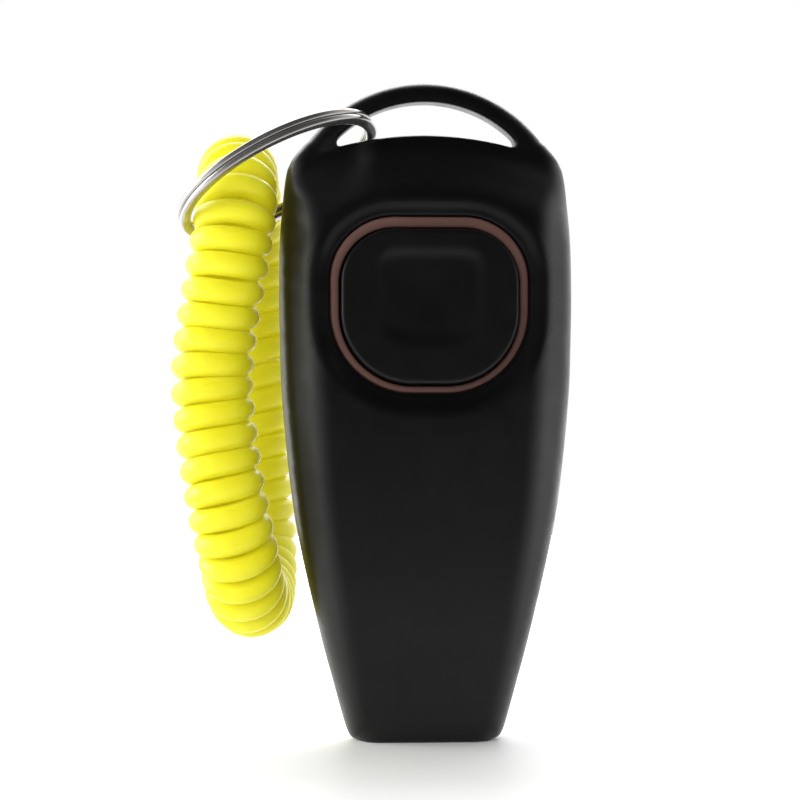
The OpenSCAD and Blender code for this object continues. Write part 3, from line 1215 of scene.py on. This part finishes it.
@dataclass
class Case:
    """The two shells of the case, which meet on the plane through the middle.

    Attributes:
        sides: The half-width at each height, up to the shoulder.
        fronts: The depth in front of the parting plane at each height.
        backs: The depth behind it.
        dome: Distance below the slot's lower edge, and the half-thickness there.
        height: The body's height.
        arch_radius: The arch's outer radius.
        arch_bar: The height of the arch's bar.
        arch_depth: Half the bar's thickness, front to back.
        slot_round: The radius of the slot's edges.
        slot_share: How much of the depth is left at the slot's very edge.
        shoulder_blend: How softly the shoulder runs into the arch.
        face_blend: How softly the shoulder runs into the flat face.
        thin_round: The rounding where the case is thin: its share of the depth, least and most.
        thin_power: How square that rounding is.
        thick_from: The depths between which the rounding gives way to the cut edge.
        edge_cut: The width of the long edges' cut, as a share of the depth.
        rim_round: The radius and the squareness of the cut's outer rim.
        dish_depth: The depth of the dished recess at the well.
        dish_reach: How far from the well the recess starts and ends to rise.
        dish_lip: The depth and the radius of the step at the well's edge.
        well_sink: How deep the face is sunk inside the well's outline.
        end_radius: The radius of the flat end's edge.
        gap: Half the width of the line where the shells part.
        floor_radius: The radius of the slot's lower edge.
        floor_top: The height of that edge at its middle.
        slot_end: How far the slot reaches to each side.
        screws: Where the case's screws are.
        window: The whistle's sound window, as Y and Z.
        button: The button's shape.
    """

    sides: tuple[tuple[float, float], ...] = (
        (0, 7.7), (0.25, 8.3), (0.8, 8.75), (2.3, 9.3), (7, 10.6), (11.8, 11.9), (21, 14.05),
        (28.2, 15.3), (38.8, 16.35), (46, 16.62), (51.4, 16.7), (57, 16.6), (62, 16.2), (64.6, 15.85),
        (65.6, 15.5), (66.6, 14.95), (68, 13.75),
    )
    fronts: tuple[tuple[float, float], ...] = (
        (0, 3.9), (3, 4.35), (10, 5.15), (20, 6.6), (30, 8), (37, 8.75), (43, 9), (60, 9), (75, 9),
    )
    backs: tuple[tuple[float, float], ...] = (
        (0, 4.6), (3, 5), (10, 5.7), (20, 6.8), (30, 8), (37, 8.75), (43, 9), (60, 9), (75, 9),
    )
    dome: tuple[tuple[float, float], ...] = (
        (-8, 0.2), (-0.5, 0.6), (0, 0.9), (0.3, 1.45), (1, 2.3), (2.4, 3.6), (4.5, 5.3), (7, 7.2), (9.5, 8.6),
        (12, 9.6), (20, 12),
    )
    height: float = 75.0
    arch_radius: float = 16.6
    arch_bar: float = 2.3
    arch_depth: float = 2.1
    slot_round: float = 0.4
    slot_share: float = 0.6
    shoulder_blend: float = 1.3
    face_blend: float = 2.6
    thin_round: tuple[float, float, float] = (0.62, 1.9, 5.2)
    thin_power: float = 2.3
    thick_from: tuple[float, float] = (2.5, 5.5)
    edge_cut: float = 0.5
    rim_round: tuple[float, float] = (1.1, 2.2)
    dish_depth: float = 1.05
    dish_reach: tuple[float, float] = (0.35, 2.45)
    dish_lip: tuple[float, float] = (0.75, 0.55)
    well_sink: float = 1.7
    end_radius: float = 0.5
    gap: float = 0.06
    floor_radius: float = 36.8
    floor_top: float = 69.0
    slot_end: float = 10.15
    screws: tuple[tuple[float, float], ...] = ((-11.4, 35.6), (11.4, 35.6), (0, 62.8))
    window: tuple[tuple[float, float], ...] = (
        (0.4, 13), (18, 13), (18, 22), (5.9, 18), (2.8, 16), (0.4, 16),
    )
    button: ButtonShape = field(default_factory=ButtonShape)

    def __post_init__(self) -> None:
        """Work out the outlines that both shells share."""
        self.side_line = smooth_open(self.sides, 8)
        self.front_line = smooth_open(self.fronts, 6)
        self.back_line = smooth_open(self.backs, 6)
        self.dome_line = smooth_open(self.dome, 6)
        self.arch_middle = self.height - self.arch_radius
        self.floor_middle = self.floor_top - self.floor_radius
        right = self.side_line[:, ::-1]
        left = right[::-1] * [-1, 1]
        arch = arc((0, self.arch_middle), self.arch_radius, 37, 143, 60)
        self.wall_line = np.vstack([right, arch, left])
        self.outline = even_loop(self.wall_line, 0.32)
        self.outline[np.abs(self.outline[:, 1]) < 1e-6, 1] = 0
        self.slot = self.slot_outline()
        self.well = self.button.outline(self.button.well_gap, self.button.well_middle)

    def slot_outline(self) -> Points:
        """Make the outline of the lanyard slot, with its rounded ends.

        Returns:
            The outline's points, as X and Z.
        """
        reach = math.degrees(math.asin(self.slot_end / self.floor_radius))
        floor = arc((0, self.floor_middle), self.floor_radius, 90 + reach, 90 - reach, 40)
        inner = self.arch_radius - self.arch_bar
        reach = math.degrees(math.asin(self.slot_end / inner))
        roof = arc((0, self.arch_middle), inner, 90 - reach, 90 + reach, 50)
        corners = np.vstack([floor, roof])
        loop = even_loop(corners, 0.12)
        for _ in range(14):
            loop = 0.5 * loop + 0.25 * (np.roll(loop, 1, 0) + np.roll(loop, -1, 0))
        return even_loop(loop, 0.26)

    def depth(self, line: Points, x: Points, z: Points) -> Points:
        """Work out how deep one side of the case is.

        Args:
            line: The side's depth at each height.
            x: The places' X.
            z: The places' Z.

        Returns:
            The depth at each place, before anything is cut in it.
        """
        full = np.interp(z, line[:, 0], line[:, 1])
        below = self.floor_radius - np.hypot(x, z - self.floor_middle)
        thin = np.interp(below, self.dome_line[:, 0], self.dome_line[:, 1])
        thin = soft_max(thin, np.full_like(thin, self.arch_depth), self.shoulder_blend)
        raw = soft_min(full, thin, self.face_blend)
        away = distance_to(self.wall_line, x, z, closed=False)
        share, least, most = self.thin_round
        rounded = edge_round(away, np.clip(share * raw, least, most), self.thin_power)
        cut = 0.5 + 0.5 * away / (self.edge_cut * np.maximum(raw, 1))
        cut = soft_min(cut, np.ones_like(cut), 0.14) * edge_round(away, *self.rim_round)
        thick = ramp(raw, *self.thick_from)
        wall = thick * cut + (1 - thick) * rounded
        lip = edge_round(distance_to(self.slot, x, z), self.slot_round)
        return raw * wall * (self.slot_share + (1 - self.slot_share) * lip)

    def dish(self, x: Points, z: Points) -> Points:
        """Work out how deep the dished recess round the well is.

        Args:
            x: The places' X.
            z: The places' Z.

        Returns:
            The recess's depth at each place.
        """
        away = distance_to(self.well, x, z)
        step, radius = self.dish_lip
        slope = self.dish_depth * (1 - ramp(away, *self.dish_reach))
        lip = step * (1 - edge_round(away, radius))
        within = inside(self.well, np.ravel(x), np.ravel(z)).reshape(np.shape(x))
        return np.where(within, self.well_sink, slope + lip)

    def end_round(self, z: Points) -> Points:
        """Work out how far the flat end's edge is rounded back.

        Args:
            z: The places' Z.

        Returns:
            How far the surface is set back at each place.
        """
        t = np.clip(z / self.end_radius, 0, 1)
        return self.end_radius * (1 - np.sqrt(1 - (1 - t) ** 2))

    def front_y(self, x: Points, z: Points) -> Points:
        """Give the front shell's outer surface.

        Args:
            x: The places' X.
            z: The places' Z.

        Returns:
            The Y at each place.
        """
        deep = self.depth(self.front_line, x, z)
        return -np.maximum(deep - self.dish(x, z) * ramp(deep, 1, 4) - self.end_round(z), self.gap)

    def back_y(self, x: Points, z: Points) -> Points:
        """Give the rear shell's outer surface.

        Args:
            x: The places' X.
            z: The places' Z.

        Returns:
            The Y at each place.
        """
        return np.maximum(self.depth(self.back_line, x, z) - self.end_round(z), self.gap)

    def front_part(self, x: Points, z: Points) -> Points:
        """Give the face on which the front shell meets the rear one.

        Args:
            x: The places' X.
            z: The places' Z; not used.

        Returns:
            The Y at each place.
        """
        return np.full_like(x, -self.gap / 2)

    def rear_part(self, x: Points, z: Points) -> Points:
        """Give the face on which the rear shell meets the front one.

        Args:
            x: The places' X.
            z: The places' Z; not used.

        Returns:
            The Y at each place.
        """
        return np.full_like(x, self.gap / 2)

    def build(self) -> None:
        """Build both shells."""
        guides = [offset_loop(self.well, -d) for d in (0.85, 1.2, 1.6, 2.0, 2.4)]
        front = Relief(
            self.outline, self.front_y, self.front_part, [self.slot, self.well], 0.55, guides=guides
        ).build("front_shell_skin")
        room = self.room_outline()
        cut_away(
            front,
            [
                block((-6.5, -2.2, -1), (6.5, 1, 13.2)),
                block((-9, -3.6, 13), (9, 1, 33.8)),
                prism(room, -6.4, 1),
            ],
        )
        dress(front, Finish.CASE, Body.CASE, "front_shell")
        rear = Relief(self.outline, self.rear_part, self.back_y, [self.slot], 0.55).build("rear_shell_skin")
        cutters = [
            block((-6.5, -1, -1), (6.5, 2.8, 13.2)),
            block((-9, -1, 13), (9, 3, 33.8)),
            prism(room, -1, 6.4),
            prism(np.array(self.window), -6.5, 6.5, along_x=True),
        ]
        for spot in self.screws:
            cutters.append(prism(arc(spot, 2.3, 0, 357, 47), 4.6, 12))
        cut_away(rear, cutters)
        dress(rear, Finish.CASE, Body.CASE, "rear_shell")

    def room_outline(self) -> Points:
        """Make the outline of the room behind the button, with its screw posts left standing.

        Returns:
            The outline's points, as X and Z.
        """
        roof = arc((0, self.floor_middle), 27, 63.1, 116.9, 30)
        low = [[-8.2, 33.6], [8.2, 33.6], [8.2, 39.2], [12.2, 39.2]]
        return np.vstack([low, roof, [[-12.2, 39.2], [-8.2, 39.2]]])


@dataclass
class Button:
    """The thumb button and the bezel round it.

    Attributes:
        shape: The outline that they share.
        face: The Y of the button's face.
        back: The Y of its stop flange's rear.
        edge: The radius of its rounded edge.
        dome_rise: How far its face falls from the middle to the edge.
        dome_half: The half-width and half-height over which it falls.
        hollow_step: The depth of the thumb's hollow just inside its outline.
        hollow_reach: The distances from that outline between which it gets so deep.
        hollow_deep: How much deeper the hollow's middle is.
        hollow_size: The half-width and half-height of that deeper part.
        hollow_rise: How far the deeper part lies above the button's middle.
        bezel_front: The Y of the bezel's front.
        bezel_back: The Y of its rear.
    """

    shape: ButtonShape = field(default_factory=ButtonShape)
    face: float = -8.9
    back: float = -4.2
    edge: float = 0.45
    dome_rise: float = 0.35
    dome_half: tuple[float, float] = (9.9, 8.65)
    hollow_step: float = 0.4
    hollow_reach: tuple[float, float] = (-0.35, 1.5)
    hollow_deep: float = 0.25
    hollow_size: tuple[float, float] = (5.0, 4.2)
    hollow_rise: float = 1.5
    bezel_front: float = -7.3
    bezel_back: float = -5.5

    def thumb_outline(self) -> Points:
        """Make the outline of the thumb's hollow: straight on top and narrow below.

        Returns:
            The outline's points, as X and Z.
        """
        loop = np.vstack(
            [
                arc((4.3, 4.6), 2.0, 5, 90, 10),
                arc((-4.3, 4.6), 2.0, 90, 175, 10),
                arc((-2.2, -0.6), 3.9, 200, 250, 10),
                arc((2.2, -0.6), 3.9, 290, 340, 10),
            ]
        )
        loop = even_loop(loop + [0, self.shape.middle], 0.25)
        for _ in range(30):
            loop = 0.5 * loop + 0.25 * (np.roll(loop, 1, 0) + np.roll(loop, -1, 0))
        return even_loop(loop, 0.3)

    def face_y(self, x: Points, z: Points) -> Points:
        """Give the button's face: slightly domed, rounded at the edge, hollowed for the thumb.

        Args:
            x: The places' X.
            z: The places' Z.

        Returns:
            The face's Y at each place.
        """
        up = z - self.shape.middle
        dome = self.dome_rise * ((x / self.dome_half[0]) ** 2 + (up / self.dome_half[1]) ** 2) / 2
        lip = self.edge * (1 - edge_round(distance_to(self.outer, x, z), self.edge))
        within = inside(self.thumb, np.ravel(x), np.ravel(z)).reshape(np.shape(x))
        away = distance_to(self.thumb, x, z) * np.where(within, 1, -1)
        out = np.hypot(x / self.hollow_size[0], (up - self.hollow_rise) / self.hollow_size[1])
        dent = self.hollow_step * ramp(away, *self.hollow_reach) + self.hollow_deep * (1 - ramp(out, 0, 1))
        return self.face + dome + lip + dent

    def build(self) -> None:
        """Build the button and its bezel."""
        self.outer = self.shape.outline(0, self.shape.middle, 0.28)
        self.thumb = self.thumb_outline()
        guides = [offset_loop(self.thumb, d) for d in (-0.35, 0.0, 0.35, 0.7, 1.1, 1.6)]
        cap = Relief(
            self.outer, self.face_y, lambda x, z: np.full_like(x, self.back), [], 0.5,
            (0.02, 0.07, 0.15, 0.26, 0.42, 0.62), guides,
        ).build("button_cap_skin", 50)
        dress(cap, Finish.BUTTON, Body.BUTTON, "button_cap")
        outer = self.shape.outline(self.shape.well_gap, self.shape.well_middle)
        hole = self.shape.outline(0.2, self.shape.middle)

        def rim(x: Points, z: Points) -> Points:
            """Give the bezel's front, rounded at both its edges.

            Args:
                x: The places' X.
                z: The places' Z.

            Returns:
                The front's Y at each place.
            """
            away = np.minimum(distance_to(outer, x, z), distance_to(hole, x, z))
            return self.bezel_front + 0.3 * (1 - edge_round(away, 0.3))

        bezel = Relief(
            outer, rim, lambda x, z: np.full_like(x, self.bezel_back), [hole], 0.3, (0.06, 0.16, 0.3)
        ).build("button_bezel_ring")
        dress(bezel, Finish.BEZEL, Body.CASE, "button_bezel")


# ---------------------------------------------------------------------------------------------
# Stage
# ---------------------------------------------------------------------------------------------


@dataclass(frozen=True)
class Lamp:
    """A soft rectangular lamp that points at the object.

    Attributes:
        name: Its name.
        place: Where it hangs, in millimetres.
        size: Its width and height, in millimetres.
        power: Its power, in watts.
        mirrored: Whether it is seen in glossy surfaces.
    """

    name: str
    place: tuple[float, float, float]
    size: tuple[float, float]
    power: float
    mirrored: bool = True

    def hang(self, aim: Sequence[float]) -> None:
        """Hang the lamp.

        Args:
            aim: The point that it points at, in millimetres.
        """
        data = bpy.data.lights.new(self.name, "AREA")
        data.shape = "RECTANGLE"
        data.size, data.size_y = self.size[0] * MM, self.size[1] * MM
        data.energy = self.power
        made = bpy.data.objects.new(self.name, data)
        made.visible_glossy = self.mirrored
        made.location = Vector(self.place) * MM
        made.rotation_mode = "QUATERNION"
        made.rotation_quaternion = (Vector(aim) - Vector(self.place)).to_track_quat("-Z", "Y")
        bpy.context.scene.collection.objects.link(made)


@dataclass
class Stage:
    """The floor, the lights and the camera.

    Attributes:
        aim: The point that the camera looks at, in millimetres.
        azimuth: The camera's angle round the object, in degrees.
        elevation: Its angle above the horizon.
        distance: Its distance from that point, in millimetres.
        frame_height: How much of the object's plane the picture is high, in millimetres.
        floor_front: How far the floor reaches in front of the object, in millimetres.
        floor_side: How far it reaches to each side.
        floor_back: How far it reaches behind.
        screen: The direction of the dark screen in front of the object.
        screen_edge: The cosines to it between which the light fades, and the light at both.
        lamps: The lamps.
    """

    aim: tuple[float, float, float] = (-2.86, 0, 38.8)
    azimuth: float = -3.5
    elevation: float = 0.0
    distance: float = 280.0
    frame_height: float = 91.6
    floor_front: float = 52.0
    floor_side: float = 700.0
    floor_back: float = 420.0
    screen: tuple[float, float, float] = (0, -1, 0.84)
    screen_edge: tuple[float, float, float, float] = (-0.15, 0.72, 2.0, 0.015)
    lamps: tuple[Lamp, ...] = (
        Lamp("lamp_back", (-60, 480, 460), (900, 300), 3.5),
        Lamp("lamp_left", (-460, 120, 130), (260, 300), 1.6),
        Lamp("lamp_front", (-190, -430, 180), (420, 420), 2.6, mirrored=False),
    )

    def camera(self) -> None:
        """Place the camera."""
        data = bpy.data.cameras.new("camera")
        data.sensor_width = 36
        data.lens = 36 * self.distance / self.frame_height
        data.clip_start = 0.01
        made = bpy.data.objects.new("camera", data)
        a, e = math.radians(self.azimuth), math.radians(self.elevation)
        back = Vector((math.sin(a) * math.cos(e), -math.cos(a) * math.cos(e), math.sin(e)))
        made.location = (Vector(self.aim) + back * self.distance) * MM
        made.rotation_mode = "QUATERNION"
        made.rotation_quaternion = (-back).to_track_quat("-Z", "Y")
        bpy.context.scene.collection.objects.link(made)
        bpy.context.scene.camera = made

    def floor(self) -> None:
        """Lay the pale floor, which glows with painted light that grows with the distance from the object."""
        side, front, back = self.floor_side, -self.floor_front, self.floor_back
        corners = [(-side, front, 0), (side, front, 0), (side, back, 0), (-side, back, 0)]
        made = new_object("floor", corners, [(0, 1, 2, 3)])
        s = Shader("floor_pale")
        s.feed("Base Color", s.mix(s.noise(3, 2), [(0.0, (0.86, 0.86, 0.86)), (1.0, (0.9, 0.9, 0.9))]))
        # Painted light: the floor glows weakly near the object's origin and fully from 0.26 m away, so its
        # far part reads white while the shadow near the object stays.
        s.feed("Emission Strength", s.away(0.03, 0.26, 0.07, 1.1))
        s.set(roughness=0.5, specular_ior_level=0.3, emission_color=(1, 1, 1, 1))
        made.data.materials.append(s.material)

    def sky(self) -> None:
        """Light the world: white all round but for a dark screen in front of the object."""
        world = bpy.data.worlds.new("studio")
        world.use_nodes = True
        bpy.context.scene.world = world
        nodes, links = world.node_tree.nodes, world.node_tree.links
        paper = nodes["Background"]
        paper.inputs["Color"].default_value = (1, 1, 1, 1)
        room = nodes.new("ShaderNodeBackground")
        where = nodes.new("ShaderNodeTexCoord")
        toward = nodes.new("ShaderNodeVectorMath")
        toward.operation = "DOT_PRODUCT"
        toward.inputs[1].default_value = Vector(self.screen).normalized()
        band = nodes.new("ShaderNodeMapRange")
        band.interpolation_type = "SMOOTHSTEP"
        for key, given in zip(("From Min", "From Max", "To Min", "To Max"), self.screen_edge, strict=True):
            band.inputs[key].default_value = given
        links.new(where.outputs["Generated"], toward.inputs[0])
        links.new(toward.outputs["Value"], band.inputs["Value"])
        links.new(band.outputs[0], room.inputs["Strength"])
        paths = nodes.new("ShaderNodeLightPath")
        choose = nodes.new("ShaderNodeMixShader")
        links.new(paths.outputs["Is Camera Ray"], choose.inputs[0])
        links.new(room.outputs[0], choose.inputs[1])
        links.new(paper.outputs[0], choose.inputs[2])
        links.new(choose.outputs[0], nodes["World Output"].inputs["Surface"])

    def lights(self) -> None:
        """Set up the lights and the floor."""
        bpy.context.scene.view_settings.view_transform = "Standard"
        self.sky()
        self.floor()
        for lamp in self.lamps:
            lamp.hang(self.aim)


def dress_cad(node: str, finish: Finish) -> None:
    """Give a CAD node that stays in sight its own material.

    Args:
        node: The node's name.
        finish: Its finish.
    """
    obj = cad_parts[node]
    obj.data.materials.clear()
    obj.data.materials.append(finish.material())
    LOG.info("%s: dressed", node)


def main() -> None:
    """Build every piece."""
    logging.basicConfig(level=logging.INFO, format="%(name)s %(message)s")
    stage = Stage()
    stage.camera()
    ring = SplitRing().build()
    WristCoil().build(ring)
    Case().build()
    Button().build()
    dress_cad("case_screws", Finish.SCREW)
    dress_cad("click_plate", Finish.SPRING)
    dress_cad("plate_anchor", Finish.ANCHOR)
    dress_cad("anchor_screws", Finish.SCREW)
    dress_cad("whistle_block", Finish.INSERT)
    dress_cad("whistle_plug", Finish.INSERT)
    stage.lights()


if __name__ == "__main__":
    main()
